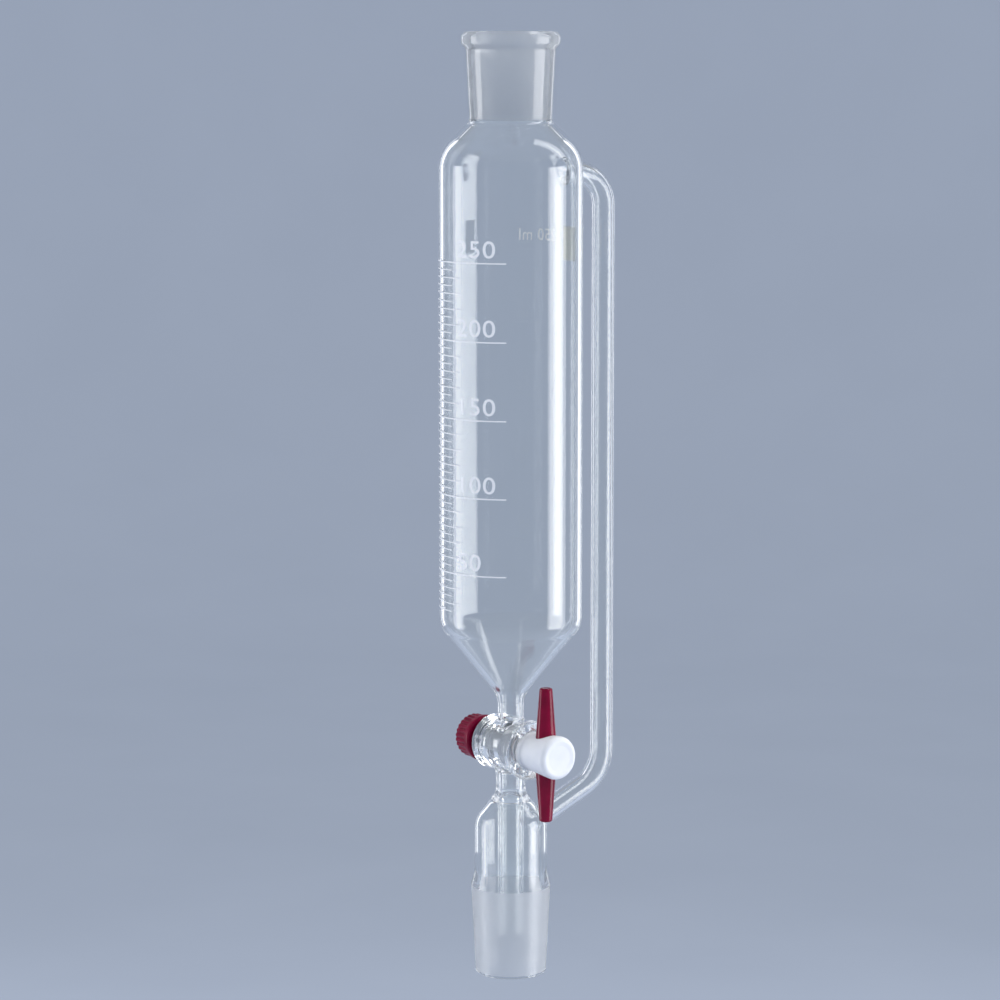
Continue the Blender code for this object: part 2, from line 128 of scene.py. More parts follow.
# The melted fillets where the glass's parts meet
BARREL_FILLET = 2.4 * MM
SIDE_FILLET = 2.6 * MM
DRIP_FILLET = 2.2 * MM
SPACE_FILLET = 1 * MM
SPACE_EDGE = 0.7 * MM
BORE_FILLET = 0.5 * MM
BORE_EDGE = 0.6 * MM

# ---------------------------------------------------------------- outlines and their distance fields


def rounded(corners, closed=True):
    """The straight and round stretches of an outline, given its corners as (x, y, rounding radius)."""
    count = len(corners)
    points = [Vector(c[:2]) for c in corners]
    stretches, joints = [], []
    for i, (point, corner) in enumerate(zip(points, corners)):
        if not closed and i in (0, count - 1):
            joints.append((point, point))
            continue
        back = (points[i - 1] - point).normalized()
        ahead = (points[(i + 1) % count] - point).normalized()
        half_turn = (math.pi - back.angle(ahead)) / 2
        reach = corner[2] * math.tan(half_turn)
        start, end = point + back * reach, point + ahead * reach
        joints.append((start, end))
        middle = (back + ahead).normalized()
        centre = point + middle * (corner[2] / math.cos(half_turn))
        turn = 1 if (-back).cross(ahead) > 0 else -1
        stretches.append(("arc", centre, corner[2], -middle, math.cos(half_turn), turn))
    for i in range(count if closed else count - 1):
        stretches.append(("line", joints[i][1], joints[(i + 1) % count][0]))
    return stretches


def outline_distance(stretches, x, y):
    """The distance to an outline, negative on its left side: the inside of one drawn anticlockwise."""
    best = np.full(np.shape(x), 1e3)
    side = np.ones(np.shape(x))
    for stretch in stretches:
        if stretch[0] == "line":
            start, end = stretch[1:]
            run = end - start
            along = ((x - start.x) * run.x + (y - start.y) * run.y) / run.length_squared
            along = np.clip(along, 0, 1)
            distance = np.hypot(x - start.x - along * run.x, y - start.y - along * run.y)
            left = run.x * (y - start.y) - run.y * (x - start.x)
        else:
            centre, radius, middle, reach, turn = stretch[1:]
            dx, dy = x - centre.x, y - centre.y
            out = np.hypot(dx, dy)
            within = dx * middle.x + dy * middle.y >= out * reach
            distance = np.where(within, np.abs(out - radius), 1e3)
            left = (radius - out) * turn
        closer = distance < best
        best = np.where(closer, distance, best)
        side = np.where(closer, left, side)
    return np.where(side > 0, -best, best)


def join(a, b, fillet=0.0):
    """The union of two fields, with a melted fillet where they meet."""
    if not fillet:
        return np.minimum(a, b)
    near = np.maximum(fillet - np.abs(a - b), 0) / fillet
    return np.minimum(a, b) - near * near * fillet / 4


def without(a, b, rounding=0.0):
    """Field a with b taken out of it, and the edge between them rounded."""
    return -join(-a, b, rounding)


def slope_radius(radius, z, slope, at):
    """The radius at height `at` on a slope that leans in from (radius, z)."""
    return radius - abs(at - z) * math.tan(slope)


def slope_height(radius, z, slope, at_radius, side):
    """The height at which a slope leaning in from (radius, z) has come in to at_radius."""
    return z + side * (radius - at_radius) / math.tan(slope)


def body_outlines():
    """The outside of socket, body and inlet stem, and the space inside them."""
    shoulder = SHOULDER_Z + SHOULDER_BEND_R * math.tan(SHOULDER_SLOPE / 2)
    cone = CONE_Z - CONE_BEND_R * math.tan(CONE_SLOPE / 2)
    outside = [
        (PAST_AXIS, STOPCOCK_Z, SHARP),
        (STEM_R, STOPCOCK_Z, SHARP),
        (STEM_R, slope_height(BODY_R, cone, CONE_SLOPE, STEM_R, -1), 10 * MM),
        (BODY_R, cone, CONE_BEND_R),
        (BODY_R, shoulder, SHOULDER_BEND_R),
        (slope_radius(BODY_R, shoulder, SHOULDER_SLOPE, NECK_Z), NECK_Z, 3 * MM),
        (JOINT_WIDE_R + SOCKET_WALL, RIM_Z - BEAD_HEIGHT, 1 * MM),
        (RIM_R, RIM_Z - BEAD_SIDE_END, 1.6 * MM),
        (RIM_R, RIM_Z - BEAD_TOP_DROP, 1.4 * MM),
        (RIM_R - BEAD_TOP_INSET, RIM_Z, 1 * MM),
        (PAST_AXIS, RIM_Z, SHARP),
    ]
    inner_r = BODY_R - BODY_WALL
    inner_shoulder = SHOULDER_Z + (SHOULDER_BEND_R - BODY_WALL) * math.tan(SHOULDER_SLOPE / 2)
    inner_cone = CONE_Z - (CONE_BEND_R - BODY_WALL) * math.tan(CONE_SLOPE / 2)
    bore_r = STEM_R - STEM_WALL
    throat = slope_height(inner_r, inner_shoulder, SHOULDER_SLOPE, JOINT_NARROW_R, 1)
    above = 10 * MM
    widening = (JOINT_WIDE_R - JOINT_NARROW_R) / JOINT_LENGTH
    inside = [
        (PAST_AXIS, STOPCOCK_Z, SHARP),
        (PORT_R, STOPCOCK_Z, SHARP),
        (PORT_R, STOPCOCK_Z + PORT_HALF_HEIGHT, 1 * MM),
        (bore_r, STOPCOCK_Z + PORT_END, 1 * MM),
        (bore_r, slope_height(inner_r, inner_cone, CONE_SLOPE, bore_r, -1), 6 * MM),
        (inner_r, inner_cone, CONE_BEND_R - BODY_WALL),
        (inner_r, inner_shoulder, SHOULDER_BEND_R - BODY_WALL),
        (JOINT_NARROW_R, throat, 2.5 * MM),
        (JOINT_NARROW_R, NECK_Z, 0.5 * MM),
        (JOINT_WIDE_R + widening * above, RIM_Z + above, SHARP),
        (PAST_AXIS, RIM_Z + above, SHARP),
    ]
    return rounded(outside), rounded(inside)


def jacket_outlines():
    """The outside of lower stem, vapour jacket and ground cone, and the space inside them."""
    bend = JACKET_Z + JACKET_BEND_R * math.tan(JACKET_SLOPE / 2)
    seal = slope_height(JACKET_R, bend, JACKET_SLOPE, STEM_R, 1)
    end_r = JOINT_NARROW_R + (CONE_END_Z + JOINT_LENGTH) * (JOINT_WIDE_R - JOINT_NARROW_R) / JOINT_LENGTH
    outside = [
        (PAST_AXIS, CONE_END_Z, SHARP),
        (end_r, CONE_END_Z, 1.2 * MM),
        (JOINT_WIDE_R, 0, 0.5 * MM),
        (JACKET_R, JACKET_FLARE_Z, 4 * MM),
        (JACKET_R, bend, JACKET_BEND_R),
        (STEM_R, seal, 7 * MM),
        (STEM_UPPER_R, STOPCOCK_Z - 9 * MM, 6 * MM),
        (STEM_UPPER_R, STOPCOCK_Z, SHARP),
        (PAST_AXIS, STOPCOCK_Z, SHARP),
    ]
    inner_r = JACKET_R - JACKET_WALL
    inner_bend = JACKET_Z + (JACKET_BEND_R - JACKET_WALL) * math.tan(JACKET_SLOPE / 2)
    below = 8 * MM
    inside = [
        (PAST_AXIS, CONE_END_Z - below, SHARP),
        (inner_r - 0.5 * MM, CONE_END_Z - below, SHARP),
        (inner_r + 0.4 * MM, 0, 20 * MM),
        (inner_r, JACKET_FLARE_Z, 10 * MM),
        (inner_r, inner_bend, JACKET_BEND_R - JACKET_WALL),
        (PAST_AXIS, slope_height(inner_r, inner_bend, JACKET_SLOPE, PAST_AXIS, 1), SHARP),
    ]
    return rounded(outside), rounded(inside)


def drip_outlines():
    """The stem below the stopcock and the drip tube that carries it on, and their bore."""
    bore_r = STEM_R - STEM_WALL
    outside = [
        (PAST_AXIS, DRIP_END_Z, SHARP),
        (STEM_R, DRIP_END_Z, 0.6 * MM),
        (STEM_R, STOPCOCK_Z, SHARP),
        (PAST_AXIS, STOPCOCK_Z, SHARP),
    ]
    bore = [
        (PAST_AXIS, DRIP_END_Z - 8 * MM, SHARP),
        (bore_r, DRIP_END_Z - 8 * MM, SHARP),
        (bore_r, STOPCOCK_Z - PORT_END, 1 * MM),
        (PORT_R, STOPCOCK_Z - PORT_HALF_HEIGHT, 1 * MM),
        (PORT_R, STOPCOCK_Z, SHARP),
        (PAST_AXIS, STOPCOCK_Z, SHARP),
    ]
    return rounded(outside), rounded(bore)


def barrel_outline():
    """The stopcock barrel, as (radius, station along its axis)."""
    rim, waist = 2.6 * MM, 5.6 * MM
    return rounded(
        [
            (PAST_AXIS, BARREL_REAR, SHARP),
            (BARREL_REAR_R, BARREL_REAR, 1.1 * MM),
            (BARREL_REAR_R, BARREL_REAR + rim, 1.5 * MM),
            (BARREL_WAIST_R, -waist, 3 * MM),
            (BARREL_WAIST_R, waist, 3 * MM),
            (BARREL_FRONT_R, BARREL_FRONT - rim, 1.5 * MM),
            (BARREL_FRONT_R, BARREL_FRONT, 1.1 * MM),
            (PAST_AXIS, BARREL_FRONT, SHARP),
        ]
    )


def side_route():
    """The side tube's centre line in the XZ plane, from inside the body to inside the jacket."""
    body_end, jacket_end = 14 * MM, 9 * MM
    return rounded(
        [
            (body_end, SIDE_TOP_Z + (SIDE_X - body_end) * math.tan(SIDE_TOP_SLOPE), 0),
            (SIDE_X, SIDE_TOP_Z, SIDE_TOP_BEND_R),
            (SIDE_X, SIDE_FOOT_Z, SIDE_FOOT_BEND_R),
            (jacket_end, SIDE_FOOT_Z - (SIDE_X - jacket_end) * math.tan(SIDE_FOOT_SLOPE), 0),
        ],
        closed=False,
    )


OUTLINES = [*body_outlines(), *jacket_outlines(), *drip_outlines()]
BARREL = barrel_outline()
ROUTE = side_route()
BORE_CLEARANCE = 0.08 * MM


def plug_radius(station):
    return PLUG_FRONT_R + PLUG_TAPER * (station - BARREL_FRONT)


def turned_fields(radius, z):
    """The fields of the six outlines that are turned about the glass's own axis."""
    return [outline_distance(outline, radius, z) for outline in OUTLINES]


def where_near(near, measure, *coordinates):
    """A field that is only worked out where `near` is true, and is a metre elsewhere."""
    field = np.ones(np.shape(near))
    field[near] = measure(*[np.broadcast_to(c, np.shape(near))[near] for c in coordinates])
    return field


def glass_field(turned, x, y, z):
    """The signed distance to the fused glass, near its surface."""
    body, body_space, jacket, jacket_space, drip, drip_bore = turned
    rise = z - STOPCOCK_Z
    near = np.hypot(np.hypot(x, y), rise) < 24 * MM
    barrel = where_near(near, lambda a, b, c: outline_distance(BARREL, np.hypot(a, c), -b), x, y, rise)
    bore = where_near(
        near,
        lambda a, b, c: np.hypot(a, c) - (plug_radius(-b) + BORE_CLEARANCE),
        x,
        y,
        rise,
    )
    near = (np.abs(y) < 10 * MM) & (x > 4 * MM)
    route = where_near(
        near & np.ones(np.shape(z), bool),
        lambda a, b, c: np.hypot(np.abs(outline_distance(ROUTE, a, c)), b),
        x,
        y,
        z,
    )
    outside = join(join(body, jacket), barrel, BARREL_FILLET)
    outside = join(outside, route - SIDE_R, SIDE_FILLET)
    spaces = join(join(body_space, jacket_space), route - (SIDE_R - SIDE_WALL), SPACE_FILLET)
    glass = without(outside, spaces, SPACE_EDGE)
    glass = join(glass, drip, DRIP_FILLET)
    return without(glass, join(drip_bore, bore, BORE_FILLET), BORE_EDGE)


# ---------------------------------------------------------------- meshing


def stations(spans):
    """Grid levels through spans of (start, end, step)."""
    levels = [
        np.linspace(start, end, max(1, round((end - start) / step)), endpoint=False)
        for start, end, step in spans
    ]
    return np.append(np.concatenate(levels), spans[-1][1])


def ring_grid(coarse):
    """The angles, radii and heights of the grid, closest where the glass has its detail."""
    fine = np.radians(1.0 * coarse)
    wide = np.radians(2.5 * coarse)
    window = np.radians(9)
    angles = stations([(-window, window, fine), (window, 2 * np.pi - window, wide)])[:-1]
    radii = stations(
        [
            (1.3 * MM, 8 * MM, 0.3 * MM * coarse),
            (8 * MM, 30 * MM, 0.42 * MM * coarse),
            (30 * MM, 36.6 * MM, 0.6 * MM * coarse),
            (36.6 * MM, 47 * MM, 0.42 * MM * coarse),
        ]
    )
    heights = stations(
        [
            (CONE_END_Z - 1 * MM, -28 * MM, 0.3 * MM * coarse),
            (-28 * MM, -20 * MM, 2 * MM),
            (-20 * MM, -15 * MM, 0.5 * MM * coarse),
            (-15 * MM, -2 * MM, 2 * MM),
            (-2 * MM, 9 * MM, 0.5 * MM * coarse),
            (9 * MM, 14 * MM, 1.2 * MM * coarse),
            (14 * MM, 27 * MM, 0.6 * MM * coarse),
            (27 * MM, 37 * MM, 0.38 * MM * coarse),
            (37 * MM, 40 * MM, 0.55 * MM * coarse),
            (40 * MM, 66 * MM, 0.45 * MM * coarse),
            (66 * MM, 102 * MM, 0.75 * MM * coarse),
            (102 * MM, 240 * MM, 4.6 * MM),
            (240 * MM, 275 * MM, 0.65 * MM * coarse),
            (275 * MM, 283 * MM, 0.4 * MM * coarse),
            (283 * MM, 302 * MM, 2.2 * MM),
            (302 * MM, RIM_Z + 1 * MM, 0.35 * MM * coarse),
        ]
    )
    return angles, radii, heights


def crossing_points(field, axis, levels, period=None):
    """Where the surface crosses the grid's edges along one axis: the mask, and the place along that axis."""
    ahead = np.roll(field, -1, axis) if period else np.take(field, range(1, field.shape[axis]), axis)
    here = field if period else np.take(field, range(field.shape[axis] - 1), axis)
    crossed = (here < 0) != (ahead < 0)
    share = np.where(crossed, here / np.where(crossed, here - ahead, 1), 0)
    shape = [1, 1, 1]
    shape[axis] = -1
    low = levels if period else levels[:-1]
    step = np.diff(np.append(levels, period)) if period else np.diff(levels)
    return crossed, low.reshape(shape) + share * step.reshape(shape), here < 0


def surface_net(field, angles, radii, heights):
    """Vertices and faces of the surface where field is 0, one vertex in each grid cell that it crosses."""
    period = angles[0] + 2 * np.pi
    n, m, k = field.shape
    inside = field < 0
    mixed_in_ring = inside | np.roll(inside, -1, 0), inside & np.roll(inside, -1, 0)
    some = mixed_in_ring[0][:, :-1] | mixed_in_ring[0][:, 1:]
    some = some[:, :, :-1] | some[:, :, 1:]
    every = mixed_in_ring[1][:, :-1] & mixed_in_ring[1][:, 1:]
    every = every[:, :, :-1] & every[:, :, 1:]
    active = some & ~every
    index = np.full(active.shape, -1, np.int64)
    index[active] = np.arange(active.sum())
    total = np.zeros((int(active.sum()), 3))
    count = np.zeros(int(active.sum()))
    levels = (angles, radii, heights)
    faces = []
    for axis in range(3):
        crossed, place, starts_inside = crossing_points(
            field, axis, levels[axis], period if axis == 0 else None
        )
        at = np.argwhere(crossed)
        spot = np.stack([levels[a][at[:, a]] for a in range(3)], 1)
        spot[:, axis] = place[crossed]
        others = [a for a in range(3) if a != axis]
        corners = []
        for du, dv in ((1, 1), (0, 1), (0, 0), (1, 0)):
            cell = at.copy()
            cell[:, others[0]] -= du
            cell[:, others[1]] -= dv
            wrapped = cell[:, 0] < 0
            cell[:, 0] %= n
            ok = (cell[:, 1] >= 0) & (cell[:, 1] < m - 1) & (cell[:, 2] >= 0) & (cell[:, 2] < k - 1)
            if not ok.all():
                raise RuntimeError("the glass reaches the edge of its grid")
            found = index[cell[:, 0], cell[:, 1], cell[:, 2]]
            turned_spot = spot.copy()
            turned_spot[wrapped, 0] += 2 * np.pi
            np.add.at(total, found, turned_spot)
            np.add.at(count, found, 1)
            corners.append(found)
        quads = np.stack(corners, 1)
        outward = starts_inside[crossed] == (axis == 1)
        faces.append(np.where(outward[:, None], quads, quads[:, ::-1]))
    mean = total / count[:, None]
    return mean, np.concatenate(faces)


def exact_field(points):
    x, y, z = points.T
    return glass_field(turned_fields(np.hypot(x, y), z), x, y, z)


def gradient(points, reach=0.02 * MM):
    slopes = []
    for axis in range(3):
        step = np.zeros(3)
        step[axis] = reach
        slopes.append((exact_field(points + step) - exact_field(points - step)) / (2 * reach))
    return np.stack(slopes, 1)


def settle(points, rounds=2):
    """Moves points onto the exact surface."""
    for _ in range(rounds):
        slope = gradient(points)
        size = np.maximum((slope * slope).sum(1), 0.05)
        step = (exact_field(points) / size)[:, None] * slope
        length = np.linalg.norm(step, axis=1, keepdims=True)
        points = points - step * np.minimum(1, 0.4 * MM / np.maximum(length, 1e-12))
    return points


def relax(points, faces, rounds=2):
    """Evens out the net by sliding each point along the surface towards the middle of its neighbours."""
    for _ in range(rounds):
        total = np.zeros_like(points)
        count = np.zeros(len(points))
        for a in range(4):
            for b in ((a + 1) % 4, (a + 3) % 4):
                np.add.at(total, faces[:, a], points[faces[:, b]])
                np.add.at(count, faces[:, a], 1)
        pull = total / count[:, None] - points
        normal = gradient(points)
        normal /= np.maximum(np.linalg.norm(normal, axis=1, keepdims=True), 1e-9)
        pull -= (pull * normal).sum(1, keepdims=True) * normal
        points = settle(points + 0.5 * pull, 1)
    return points


def make_glass(clear, ground):
    """The fused glass, with its ground surfaces on the cone's outside and the socket's inside."""
    coarse = 1.0
    angles, radii, heights = ring_grid(coarse)
    ring_r, ring_z = np.meshgrid(radii, heights, indexing="ij")
    turned = [f[None] for f in turned_fields(ring_r, ring_z)]
    a, r, z = np.meshgrid(angles, radii, heights, indexing="ij")
    field = glass_field(turned, r * np.cos(a), r * np.sin(a), z)
    mean, faces = surface_net(field, angles, radii, heights)
    points = np.stack([mean[:, 1] * np.cos(mean[:, 0]), mean[:, 1] * np.sin(mean[:, 0]), mean[:, 2]], 1)
    points = relax(settle(points), faces)
    normals = gradient(points)
    normals /= np.maximum(np.linalg.norm(normals, axis=1, keepdims=True), 1e-9)

    mesh = bpy.data.meshes.new("glass_funnel")
    mesh.from_pydata(points.tolist(), [], faces.tolist())
    middle = points[faces].mean(1)
    out = np.hypot(middle[:, 0], middle[:, 1])
    facing = (normals[faces].mean(1)[:, :2] * middle[:, :2]).sum(1)
    height = middle[:, 2]
    on_cone = (height < 0) & (height > CONE_END_Z + 1.2 * MM) & (out > JACKET_R - 1 * MM)
    cone = on_cone & (facing > 0)
    socket = (height > NECK_Z) & (height < RIM_Z - 0.8 * MM) & (facing < 0)
    mesh.polygons.foreach_set("material_index", (cone | socket).astype(np.int32))
    mesh.materials.append(clear)
    mesh.materials.append(ground)
    mesh.shade_smooth()
    mesh.normals_split_custom_set_from_vertices(normals.tolist())
    ob = link(bpy.data.objects.new("glass_funnel", mesh))
    print("glass:", len(points), "points,", len(faces), "faces")
    return ob


def link(ob):
    bpy.context.scene.collection.objects.link(ob)
    return ob


# ---------------------------------------------------------------- materials


def new_material(name):
    material = bpy.data.materials.new(name)
    material.use_nodes = True
    tree = material.node_tree
    return material, tree, tree.nodes["Principled BSDF"]


def add_node(tree, kind, **values):
    """A shader node. Keys are property names, or input names where the node has no such property."""
    node = tree.nodes.new(kind)
    for key, value in values.items():
        if hasattr(node, key):
            setattr(node, key, value)
        else:
            node.inputs[key.replace("_", " ")].default_value = value
    return node


def set_inputs(node, values):
    for key, value in values.items():
        node.inputs[key].default_value = value


def noise(tree, scale, detail=2.0, stretch=(1, 1, 1)):
    """A noise texture's factor over the object's own coordinates."""
    place = tree.nodes.new("ShaderNodeTexCoord")
    mapping = tree.nodes.new("ShaderNodeMapping")
    mapping.inputs["Scale"].default_value = stretch
    texture = add_node(tree, "ShaderNodeTexNoise", Scale=scale, Detail=detail)
    tree.links.new(place.outputs["Object"], mapping.inputs["Vector"])
    tree.links.new(mapping.outputs["Vector"], texture.inputs["Vector"])
    return texture.outputs["Fac"]


def spread(tree, factor, low, high):
    """Maps a noise factor's middle range to values from low to high."""
    node = add_node(tree, "ShaderNodeMapRange")
    set_inputs(node, {"From Min": 0.3, "From Max": 0.7, "To Min": low, "To Max": high})
    tree.links.new(factor, node.inputs["Value"])
    return node.outputs["Result"]


def between(tree, factor, low, high):
    """A colour that varies between two with a factor."""
    ramp = tree.nodes.new("ShaderNodeValToRGB")
    ramp.color_ramp.elements[0].position = 0.3
    ramp.color_ramp.elements[1].position = 0.7
    ramp.color_ramp.elements[0].color = (*low, 1)
    ramp.color_ramp.elements[1].color = (*high, 1)
    tree.links.new(factor, ramp.inputs["Fac"])
    return ramp.outputs["Color"]


def bump(tree, shader, height, strength, distance):
    node = add_node(tree, "ShaderNodeBump", Strength=strength, Distance=distance)
    tree.links.new(height, node.inputs["Height"])
    tree.links.new(node.outputs["Normal"], shader.inputs["Normal"])
    return node


def clear_glass():
    """Borosilicate glass: nearly colourless, with faint drawing lines along it and the odd smear."""
    material, tree, shader = new_material("clear_glass")
    set_inputs(
        shader,
        {
            "Base Color": (0.985, 0.995, 0.99, 1),
            "Transmission Weight": 1.0,
            "IOR": 1.473,
            "Specular IOR Level": 0.5,
        },
    )
    smears = noise(tree, 60, 4, (1, 1, 0.35))
    tree.links.new(spread(tree, smears, 0.0, 0.015), shader.inputs["Roughness"])
    bump(tree, shader, noise(tree, 90, 1, (1, 1, 0.12)), 0.04, 0.1 * MM)
    return material


def ground_glass():
    """Ground glass: the same glass with a fine even matt surface and faint grinding rings."""
    material, tree, shader = new_material("ground_glass")
    set_inputs(
        shader,
        {"Base Color": (0.97, 0.98, 0.99, 1), "Transmission Weight": 0.8, "IOR": 1.473},
    )
    patches = noise(tree, 260, 5, (1, 1, 3))
    tree.links.new(spread(tree, patches, 0.34, 0.46), shader.inputs["Roughness"])
    bump(tree, shader, noise(tree, 5200, 3, (1, 1, 2.5)), 0.35, 0.02 * MM)
    return material


def ptfe():
    """White PTFE: dense, waxy and faintly see-through, with fine turning marks."""
    material, tree, shader = new_material("ptfe")
    set_inputs(
        shader,
        {
            "Subsurface Weight": 0.35,
            "Subsurface Scale": 1.0 * MM,
            "Subsurface Radius": (1.0, 1.0, 1.1),
            "IOR": 1.36,
            "Specular IOR Level": 0.5,
        },
    )
    cloud = noise(tree, 140, 4)
    tree.links.new(between(tree, cloud, (0.76, 0.78, 0.82), (0.84, 0.85, 0.88)), shader.inputs["Base Color"])
    tree.links.new(spread(tree, cloud, 0.34, 0.46), shader.inputs["Roughness"])
    bump(tree, shader, noise(tree, 900, 2, (0.15, 4, 0.15)), 0.2, 0.05 * MM)
    return material


def red_plastic():
    """Deep crimson moulded plastic, glossy with a slight orange peel and dulled by handling."""
    material, tree, shader = new_material("red_plastic")
    set_inputs(
        shader,
        {
            "IOR": 1.49,
            "Specular IOR Level": 0.15,
            "Coat Weight": 0.2,
            "Coat Roughness": 0.06,
        },
    )
    cloud = noise(tree, 180, 4)
    colour = between(tree, cloud, (0.15, 0.0004, 0.020), (0.22, 0.0008, 0.030))
    tree.links.new(colour, shader.inputs["Base Color"])
    tree.links.new(spread(tree, cloud, 0.12, 0.24), shader.inputs["Roughness"])
    bump(tree, shader, noise(tree, 1400, 2), 0.08, 0.05 * MM)
    return material


def black_rubber():
    """Black O-ring rubber with a dull bloom."""
    material, tree, shader = new_material("black_rubber")
    set_inputs(shader, {"IOR": 1.5, "Specular IOR Level": 0.45})
    cloud = noise(tree, 700, 3)
    colour = between(tree, cloud, (0.010, 0.010, 0.011), (0.028, 0.028, 0.030))
    tree.links.new(colour, shader.inputs["Base Color"])
    tree.links.new(spread(tree, cloud, 0.42, 0.62), shader.inputs["Roughness"])
    bump(tree, shader, noise(tree, 3000, 2), 0.2, 0.02 * MM)
    return material


def enamel(name, low, high, roughness, see_through):
    """Fired-on screen-printed enamel: matt, grainy, slightly uneven and thin enough to let light through."""
    material, tree, shader = new_material(name)
    set_inputs(
        shader,
        {
            "IOR": 1.5,
            "Specular IOR Level": 0.4,
            "Subsurface Weight": see_through,
            "Subsurface Scale": 0.2 * MM,
            "Subsurface Radius": (1.0, 1.0, 1.0),
        },
    )
    grain = noise(tree, 1800, 4)
    tree.links.new(between(tree, grain, low, high), shader.inputs["Base Color"])
    tree.links.new(spread(tree, grain, roughness, roughness + 0.15), shader.inputs["Roughness"])
    bump(tree, shader, grain, 0.3, 0.03 * MM)
    return material


def backdrop_paper():
    """Seamless pale paper lit from behind, so that it is even all over, with the slightest mottle."""
    material, tree, shader = new_material("backdrop_paper")
    set_inputs(
        shader,
        {
            "Roughness": 0.9,
            "Specular IOR Level": 0.1,
            "Emission Color": (0.78, 0.87, 1.0, 1),
            "Emission Strength": 0.25,
        },
    )
    fibres = noise(tree, 6, 3)
    tree.links.new(between(tree, fibres, (0.29, 0.33, 0.42), (0.31, 0.35, 0.44)), shader.inputs["Base Color"])
    return material


# ---------------------------------------------------------------- turned pieces


def arc_points(centre, radius, start, end, steps=6):
    turns = [math.radians(start + (end - start) * i / steps) for i in range(steps + 1)]
    return [(centre[0] + radius * math.cos(t), centre[1] + radius * math.sin(t)) for t in turns]


def turned(name, profile, material, segments=96, radius_at=None, closed=True):
    """Turns a profile of (radius, station) about the stopcock's axis. An open profile ends on the axis.
    radius_at(radius, station, angle) may change the radius as it goes round."""
    bm = bmesh.new()
    rows = []
    for radius, station in profile:
        if radius < 1e-7:
            rows.append([bm.verts.new((0, -station, STOPCOCK_Z))])
            continue
        row = []
        for i in range(segments):
            angle = 2 * math.pi * i / segments
            r = radius_at(radius, station, angle) if radius_at else radius
            row.append(bm.verts.new((r * math.cos(angle), -station, STOPCOCK_Z + r * math.sin(angle))))
        rows.append(row)
    pairs = list(zip(rows, rows[1:] + rows[:1])) if closed else list(zip(rows, rows[1:]))
    for a, b in pairs:
        for i in range(segments):
            j = (i + 1) % segments
            corners = [a[i % len(a)], a[j % len(a)], b[j % len(b)], b[i % len(b)]]
            bm.faces.new(list(dict.fromkeys(corners)))
    bmesh.ops.recalc_face_normals(bm, faces=bm.faces)
    mesh = bpy.data.meshes.new(name)
    bm.to_mesh(mesh)
    bm.free()
    mesh.materials.append(material)
    mesh.shade_smooth()
    return link(bpy.data.objects.new(name, mesh))


def fine(profile, step):
    """A profile with extra points, so that none of its stretches is longer than step."""
    made = []
    for (r0, s0), (r1, s1) in zip(profile, profile[1:]):
        count = max(1, math.ceil(math.hypot(r1 - r0, s1 - s0) / step))
        made += [(r0 + (r1 - r0) * i / count, s0 + (s1 - s0) * i / count) for i in range(count)]
    return made + [profile[-1]]


def cut_away(ob, *cutters):
    """Takes the cutters out of ob and removes them."""
    for cutter in cutters:
        modifier = ob.modifiers.new("cut", "BOOLEAN")
        modifier.operation = "DIFFERENCE"
        modifier.object = cutter
    evaluated = ob.evaluated_get(bpy.context.evaluated_depsgraph_get())
    mesh = bpy.data.meshes.new_from_object(evaluated)
    ob.modifiers.clear()
    ob.data = mesh
    for cutter in cutters:
        bpy.data.objects.remove(cutter)
    mesh.shade_smooth()
    mesh.set_sharp_from_angle(angle=math.radians(35))
    return ob


def upright(name, profile, material, station, segments=64):
    """Turns a profile of (radius, height) about the upright line through a station of the stopcock."""
    ob = turned(name, profile, material, segments, closed=False)
    place = Matrix.Translation((0, 0, STOPCOCK_Z)) @ Matrix.Rotation(math.pi / 2, 4, "X")
    ob.data.transform(place.inverted())
    ob.data.transform(Matrix.Translation((0, -station, STOPCOCK_Z)))
    return ob


PLUG_LOW, PLUG_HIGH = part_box("stopcock_plug")
HEAD_FRONT = -PLUG_LOW.y
TAIL_END = -PLUG_HIGH.y
HEAD_R = PLUG_HIGH.x
TAIL_R = 4.2 * MM
LEVER_LOW, LEVER_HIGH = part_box("lever_handle")
LEVER_STATION = -(LEVER_LOW.y + LEVER_HIGH.y) / 2
LEVER_R = LEVER_HIGH.x
LEVER_TIP_R = 2.4 * MM
LEVER_HALF_LENGTH = (LEVER_HIGH.z - LEVER_LOW.z) / 2
THREAD_PITCH = 2 * MM


def thread_depth(station, angle, start, end):
    """How deep a rounded thread is cut at a place on the tail, fading out at its start and end."""
    phase = station / THREAD_PITCH - angle / (2 * math.pi)
    groove = (0.5 - 0.5 * math.cos(2 * math.pi * phase)) ** 1.4
    fade = min(1, max(0, (start - station) / MM)) * min(1, max(0, (station - end) / MM))
    return groove * fade


def lever_profile(growth=0.0):
    soft = 0.9 * MM
    tip = LEVER_HALF_LENGTH + growth
    end = arc_points((LEVER_TIP_R + growth - soft, tip - soft), soft, 90, 0, 8)
    return [(0, tip), *end, (LEVER_R + growth, 0), *[(r, -z) for r, z in end[::-1]], (0, -tip)]


